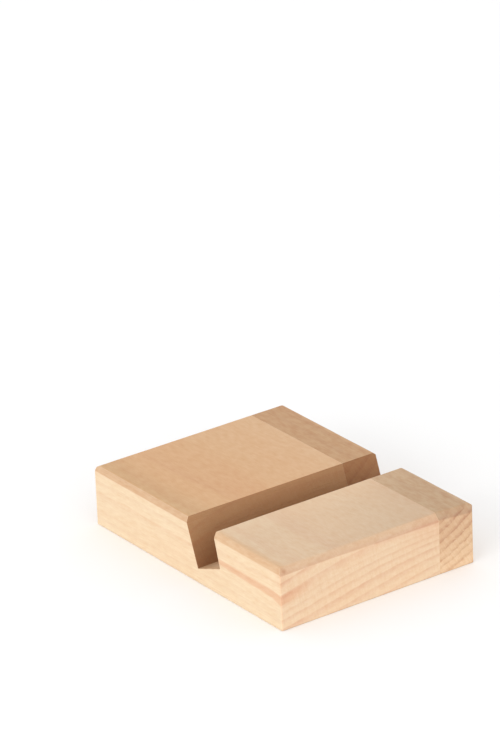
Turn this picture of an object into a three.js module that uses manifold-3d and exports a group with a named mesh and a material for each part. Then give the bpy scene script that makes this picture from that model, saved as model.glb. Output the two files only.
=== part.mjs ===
// Phone stand: a low beech block of two staves glued edge to edge, with a leaning slot cut across
// both. A phone stands in the slot and lies back against the slot's rear edge.
//
// Millimetres, +Z up, the front towards -Y. The origin is the centre of the underside.

import * as THREE from "three";
import { ConvexGeometry } from "three/addons/geometries/ConvexGeometry.js";
import { mergeVertices } from "three/addons/utils/BufferGeometryUtils.js";
import Module from "manifold-3d";

// Driving dimensions.
const BLOCK_WIDTH = 72; // X
const BLOCK_LENGTH = 97; // Y
const BLOCK_HEIGHT = 20; // Z
const SIDE_X = BLOCK_WIDTH / 2;
// The chamfers round the top: how far each reaches in on the top face and down the outer face. The
// front one is sanded broadest, and narrows across the edge stave until it meets the right one.
const FAR_CHAMFER_DOWN = 0.7; // along the right side and the back
const FRONT_CHAMFER = { in: 1.9, down: 2.2 };
const RIGHT_CHAMFER = { in: 1.0, down: FAR_CHAMFER_DOWN };
const BACK_CHAMFER = { in: 1.3, down: FAR_CHAMFER_DOWN };
const LEFT_CHAMFER = { in: 1.15, down: 1.65 };
const FRONT_CHAMFER_END = FAR_CHAMFER_DOWN / FRONT_CHAMFER.down; // its share at the right side

const EDGE_STAVE_WIDTH = 12.8; // the narrow stave along the right side
const GLUE_THICKNESS = 0.1;
const GLUE_SET_BACK = 0.2; // the film stops this far inside every outer face

const LIP_LENGTH = 34.1; // front face to the slot's mouth, along the top
const MOUTH_LENGTH = 14.15; // the slot's mouth, along the top
const SLOT_DEPTH = 16.2; // down the rear wall, to a floor that is square to it
const REAR_WALL_LEAN = THREE.MathUtils.degToRad(20); // both walls run down and forward
const FRONT_WALL_LEAN = THREE.MathUtils.degToRad(14.5);

const SLOT_OVERRUN = 20; // how far the cutter passes the block, sideways and above

const wasm = await Module();
wasm.setup();

// A closed three.js geometry as a solid that can be cut.
function solidFrom(geometry) {
  const bare = geometry.clone();
  bare.deleteAttribute("normal");
  bare.deleteAttribute("uv");
  const merged = mergeVertices(bare);
  return new wasm.Manifold(
    new wasm.Mesh({
      numProp: 3,
      vertProperties: merged.getAttribute("position").array,
      triVerts: new Uint32Array(merged.getIndex().array),
    }),
  );
}

function geometryFrom(solid) {
  const { vertProperties, triVerts } = solid.getMesh();
  const geometry = new THREE.BufferGeometry();
  geometry.setAttribute("position", new THREE.BufferAttribute(vertProperties, 3));
  geometry.setIndex(new THREE.BufferAttribute(triVerts, 1));
  return geometry;
}

// Cuts a chamfer along the top edge from start to end, which run anticlockwise seen from above.
// endShare is how much of its size is left at the end.
function cutChamfer(solid, start, end, chamfer, endShare = 1) {
  const inward = new THREE.Vector3(0, 0, 1).cross(end.clone().sub(start)).normalize();
  const onOuterFace = start.clone().setZ(start.z - chamfer.down);
  const onTop = start.clone().addScaledVector(inward, chamfer.in);
  const endOnTop = end.clone().addScaledVector(inward, chamfer.in * endShare);
  const plane = new THREE.Plane().setFromCoplanarPoints(onOuterFace, onTop, endOnTop);
  return solid.trimByPlane(plane.normal.toArray(), -plane.constant);
}

// The block's slice between two X planes, before the slot is cut. setBack pulls its front, back, top
// and bottom faces in.
function blockSlice({ fromX, toX, frontEndShare = 1, setBack = 0 }) {
  const halfLength = BLOCK_LENGTH / 2 - setBack;
  const top = BLOCK_HEIGHT - setBack;
  const corner = (x, y) => new THREE.Vector3(x, y, top);
  const frontRight = corner(SIDE_X, -halfLength);
  const backRight = corner(SIDE_X, halfLength);
  const backLeft = corner(-SIDE_X, halfLength);
  const frontLeft = corner(-SIDE_X, -halfLength);

  const box = new THREE.BoxGeometry(toX - fromX, 2 * halfLength, top - setBack);
  box.translate((fromX + toX) / 2, 0, (top + setBack) / 2);
  let solid = cutChamfer(
    solidFrom(box),
    corner(fromX, -halfLength),
    corner(toX, -halfLength),
    FRONT_CHAMFER,
    frontEndShare,
  );
  solid = cutChamfer(solid, frontRight, backRight, RIGHT_CHAMFER);
  solid = cutChamfer(solid, backRight, backLeft, BACK_CHAMFER);
  return cutChamfer(solid, backLeft, frontLeft, LEFT_CHAMFER);
}

// The direction down a wall that leans from upright, in the side view's (y, z).
function downWall(lean) {
  return new THREE.Vector2(-Math.sin(lean), -Math.cos(lean));
}

// The cutter that leaves the slot. grow moves its walls and its floor outwards.
function slotCutter(grow = 0) {
  const downFront = downWall(FRONT_WALL_LEAN);
  const downRear = downWall(REAR_WALL_LEAN);
  const alongFloor = new THREE.Vector2(downRear.y, -downRear.x); // forward and up
  const lipY = LIP_LENGTH - BLOCK_LENGTH / 2;
  const lip = new THREE.Vector2(lipY - grow / Math.cos(FRONT_WALL_LEAN), BLOCK_HEIGHT);
  const floorRear = new THREE.Vector2(lipY + MOUTH_LENGTH, BLOCK_HEIGHT)
    .addScaledVector(downRear, SLOT_DEPTH + grow)
    .addScaledVector(alongFloor, -grow);
  const toFrontWall = lip.clone().sub(floorRear).cross(downFront) / alongFloor.cross(downFront);
  const outline = [
    lip.clone().addScaledVector(downFront, -SLOT_OVERRUN),
    floorRear.clone().addScaledVector(alongFloor, toFrontWall),
    floorRear,
    floorRear.clone().addScaledVector(downRear, -SLOT_DEPTH - SLOT_OVERRUN),
  ];
  const reach = SIDE_X + SLOT_OVERRUN;
  const corners = outline.flatMap(({ x: y, y: z }) => [
    new THREE.Vector3(-reach, y, z),
    new THREE.Vector3(reach, y, z),
  ]);
  return solidFrom(new ConvexGeometry(corners));
}

function addNode(group, name, solid, look) {
  const material = new THREE.MeshStandardMaterial({ metalness: 0, ...look });
  const mesh = new THREE.Mesh(geometryFrom(solid), material);
  mesh.name = name;
  group.add(mesh);
}

const edgeStaveX = SIDE_X - EDGE_STAVE_WIDTH;
const mainStaveX = edgeStaveX - GLUE_THICKNESS;
const phoneStand = new THREE.Group();

const mainStave = blockSlice({ fromX: -SIDE_X, toX: mainStaveX });
addNode(phoneStand, "main_stave", mainStave.subtract(slotCutter()), {
  color: 0xe6c39c,
  roughness: 0.6,
});

const edgeStave = blockSlice({
  fromX: edgeStaveX,
  toX: SIDE_X,
  frontEndShare: FRONT_CHAMFER_END,
});
addNode(phoneStand, "edge_stave", edgeStave.subtract(slotCutter()), {
  color: 0xcba27a,
  roughness: 0.6,
});

const glueFilm = blockSlice({ fromX: mainStaveX, toX: edgeStaveX, setBack: GLUE_SET_BACK });
addNode(phoneStand, "glue_film", glueFilm.subtract(slotCutter(GLUE_SET_BACK)), {
  color: 0xd8c29a,
  roughness: 0.45,
});

export default phoneStand;
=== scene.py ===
# Phone stand: a low beech block of two staves glued edge to edge, with a leaning slot for a phone.
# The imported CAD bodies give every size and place. This script eases their edges, as sanding does, and
# gives each stave its own beech, with the growth rings running through the block along Y.
#
# Metres, +Z up, the front towards -Y. Lengths in the wood's patterns are in millimetres.

import math

import bmesh
import bpy
from mathutils import Matrix, Vector, noise


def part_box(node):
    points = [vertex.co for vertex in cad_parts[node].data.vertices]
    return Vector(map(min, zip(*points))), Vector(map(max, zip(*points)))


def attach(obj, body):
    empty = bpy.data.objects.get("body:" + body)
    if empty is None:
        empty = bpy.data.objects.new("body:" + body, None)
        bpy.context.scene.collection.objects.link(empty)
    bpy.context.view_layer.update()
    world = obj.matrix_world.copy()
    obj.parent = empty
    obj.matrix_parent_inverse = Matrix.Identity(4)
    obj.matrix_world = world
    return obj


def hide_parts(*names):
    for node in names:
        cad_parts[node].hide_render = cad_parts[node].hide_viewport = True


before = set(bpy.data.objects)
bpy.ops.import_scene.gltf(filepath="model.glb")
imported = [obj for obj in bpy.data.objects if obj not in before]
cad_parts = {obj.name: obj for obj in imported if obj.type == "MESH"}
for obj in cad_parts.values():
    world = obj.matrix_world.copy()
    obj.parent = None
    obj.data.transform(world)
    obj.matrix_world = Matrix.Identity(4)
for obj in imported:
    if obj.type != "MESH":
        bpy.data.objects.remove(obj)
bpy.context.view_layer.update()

MM = 0.001

BLOCK_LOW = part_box("main_stave")[0]
BLOCK_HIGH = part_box("edge_stave")[1]
GLUE_LOW_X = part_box("main_stave")[1].x
GLUE_HIGH_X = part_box("edge_stave")[0].x

# The outer faces that the wood's patterns are placed from, in millimetres as the patterns are.
LEFT = BLOCK_LOW.x / MM
RIGHT = BLOCK_HIGH.x / MM
FRONT = BLOCK_LOW.y / MM
TOP = BLOCK_HIGH.z / MM
EDGE_MIDDLE = (GLUE_HIGH_X + BLOCK_HIGH.x) / 2 / MM  # the middle of the edge stave

# How wide each kind of edge is eased by sanding.
EASED = {
    "corner": 0.45 * MM,  # the upright corner at the front left
    "foot": 0.3 * MM,  # round the underside
    "mouth": 0.28 * MM,  # where the slot's faces meet the outer ones
    "chamfer": 0.42 * MM,  # along the front and left chamfers
    "far": 0.25 * MM,  # along the right side and the back
    "slot_fillet": 0.2 * MM,  # along the slot's floor
}
WIDEST_EASE = max(EASED.values())
EASE_SEGMENTS = 4
SLOT_FLOOR_SAWN = 0.15  # how much the slot's floor has of its walls' sawn look and painted shade
SHARPEST_SMOOTH = math.radians(35)  # an edge that turns more than this stays crisp
SAME_PLACE = 0.001 * MM  # vertices this close are one

# How far sanding by hand leaves the faces and the chamfers from flat, and over what length. It
# only takes wood off the faces. The faces are cut into a grid that is fine enough to follow it.
FACE_WAVE = 0.025 * MM
FACE_WAVE_LENGTH = 17 * MM
CHAMFER_WAVE = 0.07 * MM
CHAMFER_WAVE_LENGTH = 9 * MM
CHAMFER_RISE = 0.62  # the upward part of a chamfer's direction
RISE_SPREAD = 0.3  # how far from that a surface still waves partly as a chamfer does
GRID = 1.5 * MM
ON_CUT = 0.002 * MM  # a vertex this close to a cut of the grid lies on it
GLUE_SET_BACK = 0.03 * MM  # how far the glue's edge lies below the wood round it


# ------------------------------------------------------------------------------- shapes

def cad_faces(node):
    """The CAD node's mesh, with each flat face whole."""
    mesh = bmesh.new()
    mesh.from_mesh(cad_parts[node].data)
    bmesh.ops.remove_doubles(mesh, verts=mesh.verts, dist=SAME_PLACE)
    bmesh.ops.dissolve_limit(mesh, angle_limit=math.radians(1), verts=mesh.verts, edges=mesh.edges)
    return mesh


def is_slot_face(face):
    """One of the slot's three faces: well inside the block's front, back, top and underside."""
    centre = face.calc_center_median()
    margin = 2 * MM
    inside_length = abs(centre.y) < BLOCK_HIGH.y - margin
    inside_height = margin < centre.z < BLOCK_HIGH.z - margin
    return inside_length and inside_height and abs(face.normal.x) < 0.5


def is_glued_face(face):
    """A face in the glued joint, which stays square so that the joint is tight."""
    slack = 0.01 * MM
    in_joint = GLUE_LOW_X - slack < face.calc_center_median().x < GLUE_HIGH_X + slack
    return in_joint and abs(face.normal.x) > 0.5


def is_far(edge):
    """An edge along the right side or the back."""
    reach = 2 * MM
    middle = (edge.verts[0].co + edge.verts[1].co) / 2
    return middle.x > BLOCK_HIGH.x - reach or middle.y > BLOCK_HIGH.y - reach


def edge_kind(edge):
    """Which width in EASED an edge gets, or None round the glued face."""
    if any(is_glued_face(face) for face in edge.link_faces):
        return None
    slot_faces = sum(is_slot_face(face) for face in edge.link_faces)
    if slot_faces == 2:
        return "slot_fillet"
    if slot_faces == 1:
        return "mouth"
    heights = [face.normal.z for face in edge.link_faces]
    if min(heights) < -0.5:
        return "foot"
    if is_far(edge):
        return "far"
    return "chamfer" if max(heights) > 0.5 else "corner"


def mark_sawn(mesh):
    """Notes on each of the slot's faces how much of the saw's rough, dark look and of the painted shade
    it has.
    """
    sawn = mesh.faces.layers.float.new("sawn")
    for face in mesh.faces:
        is_wall = abs(face.normal.y) > 0.8
        if is_slot_face(face):
            face[sawn] = 1.0 if is_wall else SLOT_FLOOR_SAWN


def ease_edges(mesh):
    """A new mesh with every edge rounded to its own width, and its slot faces marked as sawn."""
    weight = mesh.edges.layers.float.new("bevel_weight_edge")
    for edge in mesh.edges:
        kind = edge_kind(edge)
        edge[weight] = EASED[kind] / WIDEST_EASE if kind else 0
    mark_sawn(mesh)
    square = make_piece("square", mesh)
    bevel = square.modifiers.new("eased edges", "BEVEL")
    bevel.limit_method = "WEIGHT"
    bevel.offset_type = "OFFSET"
    bevel.width = WIDEST_EASE
    bevel.segments = EASE_SEGMENTS
    bevel.use_clamp_overlap = False
    evaluated = square.evaluated_get(bpy.context.evaluated_depsgraph_get())
    eased = bmesh.new()
    eased.from_mesh(evaluated.to_mesh())
    bpy.data.objects.remove(square)
    return eased


def cut_grid(mesh):
    """Cuts the mesh along planes GRID apart, so that its faces can be moved a little."""
    for axis in range(3):
        normal = Vector((0, 0, 0))
        normal[axis] = 1
        low = min(vertex.co[axis] for vertex in mesh.verts)
        high = max(vertex.co[axis] for vertex in mesh.verts)
        steps = round((high - low) / GRID)
        for step in range(1, steps):
            geometry = mesh.verts[:] + mesh.edges[:] + mesh.faces[:]
            place = normal * (low + (high - low) * step / steps)
            bmesh.ops.bisect_plane(
                mesh, geom=geometry, dist=ON_CUT, plane_co=place, plane_no=normal
            )


def outward(vertex):
    """The direction that a vertex's outer faces look in, leaving out the glued face."""
    total = Vector((0, 0, 0))
    for face in vertex.link_faces:
        if not is_glued_face(face):
            total += face.normal * face.calc_area()
    return total.normalized()


def wave(place, direction):
    """How far sanding has moved a point of the surface. The underside stays flat."""
    if direction.z < -0.5:
        return 0.0
    on_chamfer = max(0.0, 1 - abs(direction.z - CHAMFER_RISE) / RISE_SPREAD)
    face_part = FACE_WAVE * (noise.noise(place / FACE_WAVE_LENGTH) - 1)
    chamfer_part = CHAMFER_WAVE * noise.noise(place / CHAMFER_WAVE_LENGTH)
    return face_part * (1 - on_chamfer) + chamfer_part * on_chamfer


def sand(mesh, set_back=0.0):
    """Moves the surface by its wave, less set_back. The glued face stays in its plane."""
    mesh.normal_update()
    moves = {}
    for vertex in mesh.verts:
        direction = outward(vertex)
        moves[vertex] = direction * (wave(vertex.co, direction) - set_back)
    for vertex, move in moves.items():
        vertex.co += move


def mark_sharp(mesh):
    """Shades the eased edges smooth, and keeps the square ones crisp."""
    for face in mesh.faces:
        face.smooth = True
    for edge in mesh.edges:
        edge.smooth = edge.calc_face_angle() < SHARPEST_SMOOTH


def make_piece(name, mesh):
    """Puts the mesh in the scene as an object."""
    data = bpy.data.meshes.new(name)
    mesh.to_mesh(data)
    mesh.free()
    piece = bpy.data.objects.new(name, data)
    bpy.context.scene.collection.objects.link(piece)
    return piece


def finish_piece(name, mesh, material, node):
    """Makes a piece of the stand that stands for a CAD node, smooth over its eased edges."""
    mark_sharp(mesh)
    piece = make_piece(name, mesh)
    piece.data.materials.append(material)
    flats = piece.modifiers.new("flat faces shade flat", "WEIGHTED_NORMAL")
    flats.keep_sharp = True
    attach(piece, "root")
    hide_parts(node)
    return piece


def joint_outline(eased):
    """The corners of a stave's glued face, in order."""
    glued = next(face for face in eased.faces if is_glued_face(face))
    return [vertex.co.copy() for vertex in glued.verts]


def glue_mesh(outline):
    """The glue between the staves: the joint's outline, as thick as the gap."""
    mesh = bmesh.new()
    sides = []
    for x in (GLUE_LOW_X, GLUE_HIGH_X):
        sides.append([mesh.verts.new((x, corner.y, corner.z)) for corner in outline])
    low, high = sides
    mesh.faces.new(low)
    mesh.faces.new(reversed(high))
    count = len(outline)
    for index in range(count):
        following = (index + 1) % count
        mesh.faces.new((low[following], low[index], high[index], high[following]))
    bmesh.ops.recalc_face_normals(mesh, faces=mesh.faces)
    mark_sawn(mesh)
    return mesh


# ---------------------------------------------------------------------- node arithmetic

class Number:
    """A number that varies over a surface. Arithmetic on it adds Math nodes."""

    def __init__(self, shader, socket):
        self.shader = shader
        self.socket = socket

    def math(self, operation, *others):
        return self.shader.math(operation, self, *others)

    def __add__(self, other):
        return self.math("ADD", other)

    def __sub__(self, other):
        return self.math("SUBTRACT", other)

    def __mul__(self, other):
        return self.math("MULTIPLY", other)

    def __truediv__(self, other):
        return self.math("DIVIDE", other)

    def __rsub__(self, other):
        return self.shader.math("SUBTRACT", other, self)

    def __abs__(self):
        return self.math("ABSOLUTE")

    __radd__ = __add__
    __rmul__ = __mul__

    def between(self, low, high):
        """0 up to low, 1 from high on, and a smooth step in between. High may be below low."""
        inputs = {"Value": self, "From Min": low, "From Max": high}
        settings = {"interpolation_type": "SMOOTHSTEP", "clamp": True}
        return self.shader.number("ShaderNodeMapRange", "Result", inputs, **settings)


class Shader:
    """One material's node tree, with the few kinds of node that wood needs."""

    def __init__(self, name):
        self.material = bpy.data.materials.new(name)
        self.material.use_nodes = True
        self.tree = self.material.node_tree
        self.tree.nodes.clear()

    def node(self, kind, inputs, **settings):
        """A new node of one kind, with its inputs fed."""
        made = self.tree.nodes.new(kind)
        for setting, value in settings.items():
            setattr(made, setting, value)
        for socket, value in inputs.items():
            self.feed(made.inputs[socket], value)
        return made

    def feed(self, socket, value):
        """Links the value to the socket, or sets the socket to a plain one."""
        if isinstance(value, Number):
            value = value.socket
        if isinstance(value, bpy.types.NodeSocket):
            self.tree.links.new(value, socket)
        else:
            socket.default_value = value

    def number(self, kind, output, inputs, **settings):
        """One output of a new node."""
        return Number(self, self.node(kind, inputs, **settings).outputs[output])

    def math(self, operation, *values):
        """What one Math node makes of the values."""
        inputs = dict(enumerate(values))
        return self.number("ShaderNodeMath", "Value", inputs, operation=operation)

    def split(self, socket):
        """The three parts of a vector as Numbers."""
        parts = self.node("ShaderNodeSeparateXYZ", {"Vector": socket})
        return [Number(self, output) for output in parts.outputs]

    def noise(self, parts, sizes, detail=2.0, offset=0.0):
        """Smooth noise of about -1 to 1, with blots of the given sizes along its three parts.

        Each offset gives another pattern.
        """
        inputs = {axis: part / size for axis, part, size in zip("XYZ", parts, sizes)}
        place = self.node("ShaderNodeCombineXYZ", inputs).outputs["Vector"]
        shifted = self.node(
            "ShaderNodeVectorMath", {0: place, 1: (offset, offset * 1.7, -offset)}, operation="ADD"
        )
        inputs = {"Vector": shifted.outputs["Vector"], "Scale": 1.0, "Detail": detail, "Roughness": 0.5}
        return self.number("ShaderNodeTexNoise", "Fac", inputs) * 4 - 2

    def ramp(self, value, stops):
        """A number that runs straight between (value, result) stops."""
        low, high = stops[0][0], stops[-1][0]
        share = self.number(
            "ShaderNodeMapRange", "Result", {"Value": value, "From Min": low, "From Max": high}
        )
        ramp = self.node("ShaderNodeValToRGB", {"Fac": share})
        points = ramp.color_ramp.elements
        while len(points) < len(stops):
            points.new(0.5)
        for point, (place, result) in zip(points, stops):
            point.position = (place - low) / (high - low)
            point.color = (result, result, result, 1)
        return Number(self, ramp.outputs["Color"])

    def blend(self, share, first, second, kind="MIX"):
        """The colour first turned into second by share, or multiplied by it."""
        node = self.node("ShaderNodeMix", {"Factor": share}, data_type="RGBA", blend_type=kind)
        colours = [socket for socket in node.inputs if socket.type == "RGBA"]
        for socket, value in zip(colours, (first, second)):
            self.feed(socket, value)
        return next(socket for socket in node.outputs if socket.type == "RGBA")

    def tinted(self, colour, share, tint):
        """The colour multiplied by tint where share is 1."""
        return self.blend(share, colour, (*tint, 1), kind="MULTIPLY")


# --------------------------------------------------------------------------------- wood

# A growth ring: where its sharp outer edge lies along the stave's growth, in millimetres, how long
# before that edge it starts to darken, and how dark it gets.
MAIN_RINGS = (
    (-3.6, 1.6, 0.7),
    (0.0, 1.8, 0.9),
    (3.9, 2.2, 0.85),
    (7.34, 2.3, 1.0),
    (10.05, 1.5, 0.8),
    (12.5, 1.3, 0.65),
    (14.56, 1.0, 0.4),
    (18.09, 2.9, 0.8),
    (21.9, 1.8, 1.0),
    (24.6, 1.3, 0.6),
)
EDGE_RINGS = (
    (-0.3, 1.7, 0.7),
    (3.1, 1.9, 1.0),
    (6.7, 1.8, 1.0),
    (10.2, 1.8, 1.0),
    (13.4, 1.6, 0.85),
    (15.7, 1.3, 0.6),
    (18.8, 1.7, 0.8),
    (22.4, 1.6, 0.7),
)
# Every ring is darkest this long before its edge, and the wood is pale again this soon after it.
DARKEST_BEFORE_EDGE = 0.22
PALE_AFTER_EDGE = 0.12


def main_growth(x, z):
    """The main stave's growth: rings that lean low in the stave and arch over near its top."""
    lean = 0.220 - 0.0082 * z
    arch = 0.00105 - 0.000212 * z
    return z - (lean + arch * x) * x


def edge_growth(x, z):
    """The edge stave's growth, which ran downwards: steep rings, steeper still towards its top."""
    from_middle = x - EDGE_MIDDLE
    lean = 0.382 + 0.0139 * z + 0.003 * from_middle
    return TOP - (z - lean * from_middle)


def main_stain(x, y, growth):
    """A reddish streak below one ring at the left side, and a faint flush high up at the front."""
    depth = y - FRONT
    from_left = x - LEFT
    behind_corner = depth.between(0, 5)
    lower_edge = 14.55 + 1.05 * behind_corner + 0.025 * depth
    below_top = (18.2 + 0.6 * behind_corner - growth).between(0, 0.9)
    in_ring = (growth - lower_edge).between(-0.3, 0.5) * below_top
    at_side = 1 - from_left.between(-1, 16)
    in_front = 1 - 0.05 * behind_corner - 0.7 * depth.between(28.5, 43.5)
    near_corner = (1 - from_left.between(0, 6)) * growth.between(17.5, 22)
    high_right = from_left.between(44, 56) * growth.between(8, 14)
    flush = 0.35 * (near_corner + high_right) * (1 - depth.between(0, 4))
    return in_ring * at_side * in_front + flush


def edge_stain(_x, _y, growth):
    """The edge stave reddens slowly towards its top, alike all along it."""
    return 0.35 * (1 - growth.between(4, 16))


def main_top_shade(x, z):
    """Where the end grain darkens just below its chamfer, by a line that falls to the right."""
    return (z + 0.015 * x).between(17.5, 18.0)


def edge_top_shade(x, z):
    """The same for the edge stave, where the line falls more."""
    return (z + 0.08 * (x - EDGE_MIDDLE)).between(17.07, 17.77)


# What sets the two staves apart.
# growth, rings: how the rings run, and which there are. ripple, patch: how far they waver, in
#   millimetres, and how uneven their darkness is, each with the size of its blots along X, Y and Z.
# stain: where the wood is redder. ray_lean: how the rays lean. ray_share: how much they show in long
#   grain and in end grain. ground, late: the colours between the rings and in them.
# ring_share: how much the rings show in long grain and in end grain. chamfer_fade: how much less on a
#   chamfer. top_texture: how much the fibres show on the top. seed: where its patterns start.
# The tints multiply the colour: end_tint in end grain, end_top_tint towards its top as well,
#   end_chamfer_tint on its chamfers, top_painted_shade as painted shade on the top,
#   right_front_painted_shade as more painted shade towards its right front, and side_tint on the long
#   sides. top_shade and side_shade say from what height an outer face is as dark as its chamfer.
WOODS = {
    "beech_pale": {
        "growth": main_growth,
        "rings": MAIN_RINGS,
        "ripple": 0.14,
        "ripple_size": (3.5, 45, 3.0),
        "patch": 0.5,
        "patch_size": (4.0, 40, 1.8),
        "stain": main_stain,
        "ray_lean": 0.2,
        "ray_share": (0.5, 0.5),
        "ground": (0.710, 0.575, 0.400),
        "late": (0.638, 0.440, 0.299),
        "ring_share": (0.35, 0.9),
        "chamfer_fade": 0.75,
        "top_texture": 0.75,
        "seed": 0.0,
        "end_tint": (1.02, 0.967, 0.955),
        "end_top_tint": (0.972, 0.967, 0.967),
        "end_chamfer_tint": (0.87, 0.80, 0.765),
        "top_painted_shade": (0.958, 0.89, 0.865),
        "right_front_painted_shade": (0.89, 0.88, 0.88),
        "side_tint": (1.0, 1.0, 1.0),
        "top_shade": main_top_shade,
        "side_shade": (18.0, 18.45),
    },
    "beech_dark": {
        "growth": edge_growth,
        "rings": EDGE_RINGS,
        "ripple": 0.3,
        "ripple_size": (1.1, 30, 6.0),
        "patch": 0.7,
        "patch_size": (1.5, 30, 0.8),
        "stain": edge_stain,
        "ray_lean": 0.5,
        "ray_share": (0.5, 1.1),
        "ground": (0.602, 0.469, 0.316),
        "late": (0.415, 0.228, 0.130),
        "ring_share": (0.22, 0.7),
        "chamfer_fade": 0.5,
        "top_texture": 1.7,
        "seed": 31.0,
        "end_tint": (1.19, 1.10, 1.045),
        "end_top_tint": (0.84, 0.84, 0.84),
        "end_chamfer_tint": (0.795, 0.80, 0.80),
        "top_painted_shade": (0.90, 0.855, 0.80),
        "right_front_painted_shade": (0.945, 0.95, 0.95),
        "side_tint": (1.05, 0.98, 0.92),
        "top_shade": edge_top_shade,
        "side_shade": (18.65, 18.95),
    },
}
# Tints that both staves share.
SHADE = (0.90, 0.79, 0.70)  # the darker fibres, rays and blots
TONE = (1.0, 0.965, 0.94)  # slow changes through the block
LIP_AND_EDGE_HIGHLIGHT_TINT = (1.05, 1.055, 1.06)  # painted highlight on the top by the slot's front lip and along its right edge
FOOT_TINT = (1.02, 1.03, 1.04)  # the lowest few millimetres
LOW_CHAMFER_TINT = (0.975, 0.945, 0.955)  # the lower half of the front chamfer
SIDE_CHAMFER_TINT = (0.85, 0.72, 0.63)  # the chamfers of the long sides
REAR_CHAMFER_TINT = (0.965, 0.955, 0.96)  # those behind the slot as well
REAR_REFLECTION_AND_SHADE_TINT = (0.965, 0.805, 0.645)  # painted warm reflection and shade on the top behind the slot
REAR_LEFT_TINT = (0.915, 0.94, 0.92)  # the top behind the slot, darker towards its left
ARRIS_TINT = (0.975, 0.905, 0.82)  # the top in front of the slot, along its left edge
STAIN_TINT = (0.935, 0.775, 0.72)  # the redder wood
SAWN_AND_SHADED_TINT = (0.545, 0.39, 0.265)  # the slot's walls: the saw's darker cut and painted shade
SLOT_DEPTH_SHADE_TINT = (0.70, 0.62, 0.57)  # painted shade low down on them, deep in the slot
SPECK_TINT = (0.82, 0.70, 0.62)  # the speck by the near corner

SPECK_CENTRE = (LEFT + 2.1, FRONT + 0.9, TOP - 1.1)
SPECK_RADIUS = 1.2


def ring_stops(rings):
    """How dark the wood is along its growth: each ring darkens slowly to its sharp edge."""
    stops = []
    for edge, start, dark in rings:
        stops.append((edge - start, 0.0))
        stops.append((edge - DARKEST_BEFORE_EDGE, dark))
        stops.append((edge + PALE_AFTER_EDGE, 0.0))
    return stops


def wood_place(shader):
    """The point's x, y and z in millimetres, in the stand's own frame."""
    place = shader.node("ShaderNodeTexCoord", {}).outputs["Object"]
    scaled = shader.node("ShaderNodeVectorMath", {0: place, "Scale": 1 / MM}, operation="SCALE")
    return shader.split(scaled.outputs["Vector"])


class Surface:
    """Where a point of a stave lies, and how much of each kind of surface is there, from 0 to 1."""

    def __init__(self, shader):
        self.place = wood_place(shader)
        self.x, self.y, self.z = self.place
        self.depth = self.y - FRONT
        self.from_left = self.x - LEFT
        self.sawn = shader.number("ShaderNodeAttribute", "Fac", {}, attribute_name="sawn")

        # Which way the surface faces tells end grain, long sides, chamfers and top apart.
        normal = shader.node("ShaderNodeNewGeometry", {}).outputs["Normal"]
        normal_x, normal_y, normal_z = shader.split(normal)
        self.end_grain = abs(normal_y).between(0.3, 0.8)
        self.side_grain = abs(normal_x).between(0.3, 0.8)
        self.level = normal_z.between(0.74, 0.9)
        self.chamfer = normal_z.between(0.38, 0.5) * (1 - self.level)
        self.behind_slot = self.depth.between(36.5, 46.5)
        self.rear_top = normal_z.between(0.84, 0.92) * self.behind_slot


class Grain:
    """The patterns that one stave's wood is made of. Each noise is about -1 to 1."""

    def __init__(self, shader, at, look):
        seed = look["seed"]
        across = at.x + look["ray_lean"] * at.z

        # The rings drift a little on their way back through the block.
        drift = shader.noise(at.place, (24, 75, 24), detail=1, offset=seed)
        ripple = shader.noise((across, at.y, at.z), look["ripple_size"], offset=seed + 5)
        wander = 0.9 * drift * at.depth.between(0, 30) + look["ripple"] * ripple
        self.growth = look["growth"](at.x, at.z) + wander
        patchy = shader.noise(at.place, look["patch_size"], offset=seed + 9)
        rings = shader.ramp(self.growth, ring_stops(look["rings"]))
        self.late = rings * (0.85 + look["patch"] * patchy)

        # Rays are thin upright sheets along the growth: light lines in end grain, dark flecks on top.
        fine_rays = shader.noise((across, at.y, at.z), (0.5, 2.6, 4.0), detail=1, offset=seed + 13)
        broad_rays = shader.noise((across, at.y, at.z), (1.0, 5.0, 14), detail=1, offset=seed + 15)
        self.rays = fine_rays + 0.4 * broad_rays.between(0.35, 1.1)

        self.fibres = shader.noise(at.place, (0.4, 12, 0.4), detail=3, offset=seed + 17)
        self.pores = shader.noise(at.place, (0.2, 2.5, 0.2), detail=1, offset=seed + 19)
        rising = at.z + 0.12 * at.y
        self.mottle = shader.noise((at.x, at.y, rising), (1.6, 3.5, 1.0), detail=2, offset=seed + 23)
        self.tone = shader.noise(at.place, (15, 60, 9), detail=2, offset=seed + 21)
        self.saw_marks = shader.noise(at.place, (30, 0.5, 0.5), detail=2, offset=seed + 27)


def ring_colour(shader, at, grain, look):
    """The rings' late wood over the ground, strongest in end grain."""
    ring_long, ring_end = look["ring_share"]
    share = grain.late * (ring_long * (1 - at.end_grain) + ring_end * at.end_grain)
    share = share * (1 - 0.5 * at.sawn) * (1 - look["chamfer_fade"] * at.chamfer)
    return shader.blend(share, (*look["ground"], 1), (*look["late"], 1))


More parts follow.
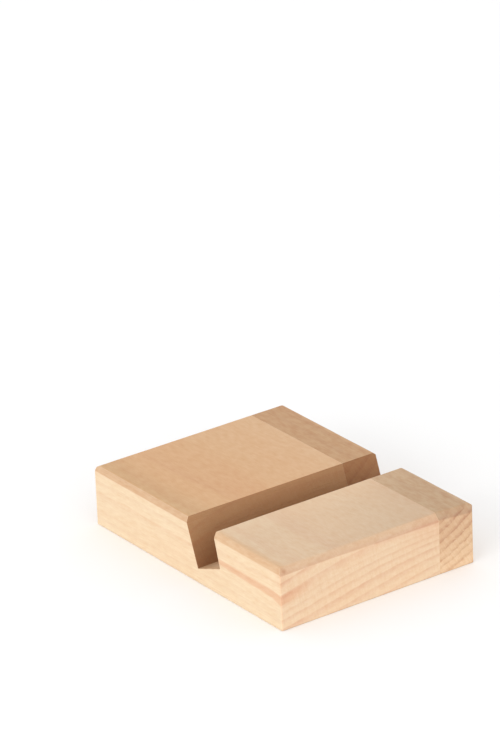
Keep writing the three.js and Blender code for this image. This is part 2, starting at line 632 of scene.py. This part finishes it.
def top_tints(shader, at, look):
    """Shares of the top face and the tint of each, with painted shade, highlight and reflection."""
    # The top gets painted shade towards its right front.
    towards_right_front = (0.8 * at.x - at.y).between(20, 60)
    # A painted highlight lies on the top by the slot's front lip and along its right edge.
    by_lip = at.depth.between(21.5, 33.5) * (1 - at.behind_slot)
    by_right_edge = (RIGHT - at.x).between(3.5, 1.5)
    highlit = shader.math("MAXIMUM", by_lip, by_right_edge)
    by_left_edge = 1 - at.from_left.between(1.8, 3.9)
    return [
        # Painted shade: the top darker than the upright faces, and more so towards its right front.
        (at.level, look["top_painted_shade"]),
        (at.level * towards_right_front, look["right_front_painted_shade"]),
        # The painted highlight by the lip and the right edge.
        (at.level * highlit, LIP_AND_EDGE_HIGHLIGHT_TINT),
        (at.level * (1 - at.behind_slot) * by_left_edge, ARRIS_TINT),
        # Painted warm reflection and shade on the top behind the slot, weaker towards its right.
        (at.rear_top * (1 - 0.3 * at.from_left.between(21, 66)), REAR_REFLECTION_AND_SHADE_TINT),
        (at.rear_top * (1 - at.from_left.between(2, 14)), REAR_LEFT_TINT),
    ]


def side_tints(shader, at, look):
    """Shares of the outer faces and their chamfers, and the tint of each."""
    at_front = 1 - at.depth.between(3.5, 6.5)
    below_end_chamfer = look["top_shade"](at.x, at.z) * at_front
    below_side_chamfer = at.z.between(*look["side_shade"])
    end_top = shader.math("MAXIMUM", at.chamfer, below_end_chamfer) * at.end_grain
    side_top = shader.math("MAXIMUM", at.chamfer, below_side_chamfer) * at.side_grain
    return [
        (at.end_grain, look["end_tint"]),
        (at.end_grain * at.z.between(0, 15), look["end_top_tint"]),
        (at.side_grain, look["side_tint"]),
        (1 - at.z.between(0.5, 4), FOOT_TINT),
        (end_top, look["end_chamfer_tint"]),
        (end_top * at_front * (1 - at.z.between(18.2, 19)), LOW_CHAMFER_TINT),
        (side_top, SIDE_CHAMFER_TINT),
        (side_top * at.behind_slot, REAR_CHAMFER_TINT),
    ]


def corner_speck(shader, at):
    """A dark speck on the front chamfer by the near corner, as a round share."""
    squares = [(part - middle) * (part - middle) for part, middle in zip(at.place, SPECK_CENTRE)]
    distance = shader.math("SQRT", squares[0] + squares[1] + squares[2])
    return 1 - distance.between(0.1, SPECK_RADIUS)


def mark_tints(shader, at, grain, look):
    """Shares of the marks in the wood and of the sawn slot, with its painted shade, and the tint of
    each.
    """
    sawn_wall = at.sawn * at.sawn  # next to nothing on the slot's floor
    return [
        (grain.tone.between(-1, 1), TONE),
        (look["stain"](at.x, at.y, grain.growth), STAIN_TINT),
        # The slot's walls: the saw's darker cut with painted shade, and more painted shade low down.
        (at.sawn, SAWN_AND_SHADED_TINT),
        (sawn_wall * (1 - at.z.between(6, 16)), SLOT_DEPTH_SHADE_TINT),
        (corner_speck(shader, at), SPECK_TINT),
    ]


def fine_shade(at, grain, look):
    """How dark the fibres, pores, blots and rays make the wood, round a middle of 0.35."""
    ray_long, ray_end = look["ray_share"]
    on_long_grain = (1 - at.end_grain) * (1 - 0.7 * at.side_grain)
    ray_shade = grain.rays * (ray_long * on_long_grain - ray_end * at.end_grain)
    streaks = (0.24 * grain.fibres + 0.22 * grain.pores) * (1 - 0.4 * at.level)
    blots = (0.34 + 0.2 * at.chamfer) * grain.mottle
    busy_top = at.level * (look["top_texture"] - 1 + 0.15 * at.behind_slot)
    quiet_sides = 0.4 * at.end_grain + 0.2 * at.side_grain * (1 - at.chamfer)
    return 0.35 + (streaks + blots) * (1 + busy_top - quiet_sides) + 0.3 * ray_shade


def beech(name):
    """Fine-sanded beech, as a solid pattern: growth rings, rays, fibres and slow changes of tone."""
    look = WOODS[name]
    shader = Shader(name)
    at = Surface(shader)
    grain = Grain(shader, at, look)

    colour = ring_colour(shader, at, grain, look)
    tints = top_tints(shader, at, look) + side_tints(shader, at, look)
    tints += mark_tints(shader, at, grain, look)
    tints.append((fine_shade(at, grain, look), SHADE))
    for share, tint in tints:
        colour = shader.tinted(colour, share, tint)

    # The height of the surface's own relief, in millimetres.
    sanded = 0.010 * grain.fibres + 0.012 * grain.late - 0.006 * grain.rays + 0.006 * grain.pores
    height = sanded + 0.03 * grain.saw_marks * at.sawn
    bump = shader.node("ShaderNodeBump", {"Height": height, "Distance": MM, "Strength": 1.0})
    surface = shader.node("ShaderNodeBsdfPrincipled", {
        "Base Color": colour,
        "Roughness": 0.62 + 0.04 * grain.fibres - 0.08 * grain.late * at.end_grain + 0.1 * at.sawn,
        "Specular IOR Level": 0.35,
        "Normal": bump.outputs["Normal"],
    })
    shader.node("ShaderNodeOutputMaterial", {"Surface": surface.outputs["BSDF"]})
    return shader.material


def glue(name):
    """Dried wood glue, rubbed with sanding dust."""
    shader = Shader(name)
    dust = shader.noise(wood_place(shader), (1.0, 2.0, 1.0), detail=3)
    sawn = shader.number("ShaderNodeAttribute", "Fac", {}, attribute_name="sawn")
    colour = shader.blend(dust.between(-1, 1), (0.62, 0.44, 0.28, 1), (0.7, 0.52, 0.35, 1))
    # In the slot the glue takes the walls' sawn look and painted shade.
    colour = shader.tinted(colour, sawn, SAWN_AND_SHADED_TINT)
    surface = shader.node("ShaderNodeBsdfPrincipled", {
        "Base Color": colour,
        "Roughness": 0.45 + 0.08 * dust,
    })
    shader.node("ShaderNodeOutputMaterial", {"Surface": surface.outputs["BSDF"]})
    return shader.material


# ------------------------------------------------------------------------------- studio

FLOOR_RADIUS = 12
FLOOR_DROP = 0.05 * MM  # keeps the floor's face off the stand's underside


def floor_material():
    """Matt white card."""
    shader = Shader("pale_floor")
    surface = shader.node("ShaderNodeBsdfPrincipled", {
        "Base Color": (0.96, 0.96, 0.96, 1),
        "Roughness": 0.9,
        "Specular IOR Level": 0.1,
    })
    shader.node("ShaderNodeOutputMaterial", {"Surface": surface.outputs["BSDF"]})
    return shader.material


def add_floor():
    """A plain pale floor that reaches far beyond the picture."""
    mesh = bmesh.new()
    bmesh.ops.create_circle(mesh, cap_ends=True, segments=96, radius=FLOOR_RADIUS)
    floor = make_piece("floor", mesh)
    floor.data.materials.append(floor_material())
    floor.location.z = -FLOOR_DROP


def add_softbox(name, place, size, power):
    """A rectangular area light that looks at the middle of the stand."""
    light = bpy.data.lights.new(name, "AREA")
    light.shape = "RECTANGLE"
    light.size, light.size_y = size
    light.energy = power
    lamp = bpy.data.objects.new(name, light)
    lamp.location = place
    aim = Vector((0, 0, BLOCK_HIGH.z / 2)) - lamp.location
    lamp.rotation_euler = aim.to_track_quat("-Z", "Y").to_euler()
    bpy.context.scene.collection.objects.link(lamp)


LIGHT_ALL_ROUND = 1.45
LIGHT_OVERHEAD = 0.756


def add_surroundings():
    """White walls all round, dimmer overhead, so that upright faces are lit as in a light tent."""
    world = bpy.data.worlds.new("light_tent")
    world.use_nodes = True
    bpy.context.scene.world = world
    nodes, links = world.node_tree.nodes, world.node_tree.links
    background = nodes["Background"]
    direction = nodes.new("ShaderNodeTexCoord")
    parts = nodes.new("ShaderNodeSeparateXYZ")
    strength = nodes.new("ShaderNodeMapRange")
    strength.interpolation_type = "SMOOTHSTEP"
    strength.inputs["From Min"].default_value = 0.1
    strength.inputs["From Max"].default_value = 1.0
    strength.inputs["To Min"].default_value = LIGHT_ALL_ROUND
    strength.inputs["To Max"].default_value = LIGHT_OVERHEAD
    links.new(direction.outputs["Generated"], parts.inputs["Vector"])
    links.new(parts.outputs["Z"], strength.inputs["Value"])
    links.new(strength.outputs["Result"], background.inputs["Strength"])
    background.inputs["Color"].default_value = (1, 1, 1, 1)


CAMERA_AZIMUTH = math.radians(-34.963)
CAMERA_ELEVATION = math.radians(23.719)
CAMERA_ROLL = math.radians(-2.367)
CAMERA_DISTANCE = 1.4878
CAMERA_LENS = 233.6
AIM_HEIGHT = 0.012
# The stand sits low and a little right in the picture, where the phone would rise above it.
STAND_RIGHT_OF_AIM = 0.00978
STAND_BELOW_AIM = 0.04051


def add_camera():
    """A long lens, a little above and to the left of the stand's front."""
    level = math.cos(CAMERA_ELEVATION)
    back = Vector((
        math.sin(CAMERA_AZIMUTH) * level,
        -math.cos(CAMERA_AZIMUTH) * level,
        math.sin(CAMERA_ELEVATION),
    ))
    turn = Matrix.Rotation(CAMERA_ROLL, 3, back)
    right = turn @ Vector((0, 0, 1)).cross(back).normalized()
    up = back.cross(right)
    aim = Vector((0, 0, AIM_HEIGHT)) - right * STAND_RIGHT_OF_AIM + up * STAND_BELOW_AIM
    data = bpy.data.cameras.new("camera")
    data.lens = CAMERA_LENS
    data.clip_start = 0.05
    camera = bpy.data.objects.new("camera", data)
    axes = Matrix((right, up, back)).transposed()
    camera.matrix_world = Matrix.Translation(aim + back * CAMERA_DISTANCE) @ axes.to_4x4()
    bpy.context.scene.collection.objects.link(camera)
    bpy.context.scene.camera = camera


# ---------------------------------------------------------------------------- the stand

def build_stand():
    """Both staves and the glue between them, cut finely enough to be sanded."""
    main = ease_edges(cad_faces("main_stave"))
    edge = ease_edges(cad_faces("edge_stave"))
    film = glue_mesh(joint_outline(main))
    for mesh in (main, edge, film):
        cut_grid(mesh)
    sand(main)
    sand(edge)
    sand(film, set_back=GLUE_SET_BACK)
    finish_piece("main_stave_sanded", main, beech("beech_pale"), "main_stave")
    finish_piece("edge_stave_sanded", edge, beech("beech_dark"), "edge_stave")
    finish_piece("glue_line", film, glue("wood_glue"), "glue_film")


def add_studio():
    """The floor, the lights and the camera."""
    add_floor()
    add_surroundings()
    add_softbox("key_left", place=(-1.3, -0.45, 0.45), size=(1.0, 0.8), power=6.7)
    add_softbox("fill_front", place=(-0.35, -1.5, 0.35), size=(1.2, 0.6), power=2.7)
    add_camera()
    bpy.context.scene.view_settings.view_transform = "Standard"


build_stand()
add_studio()
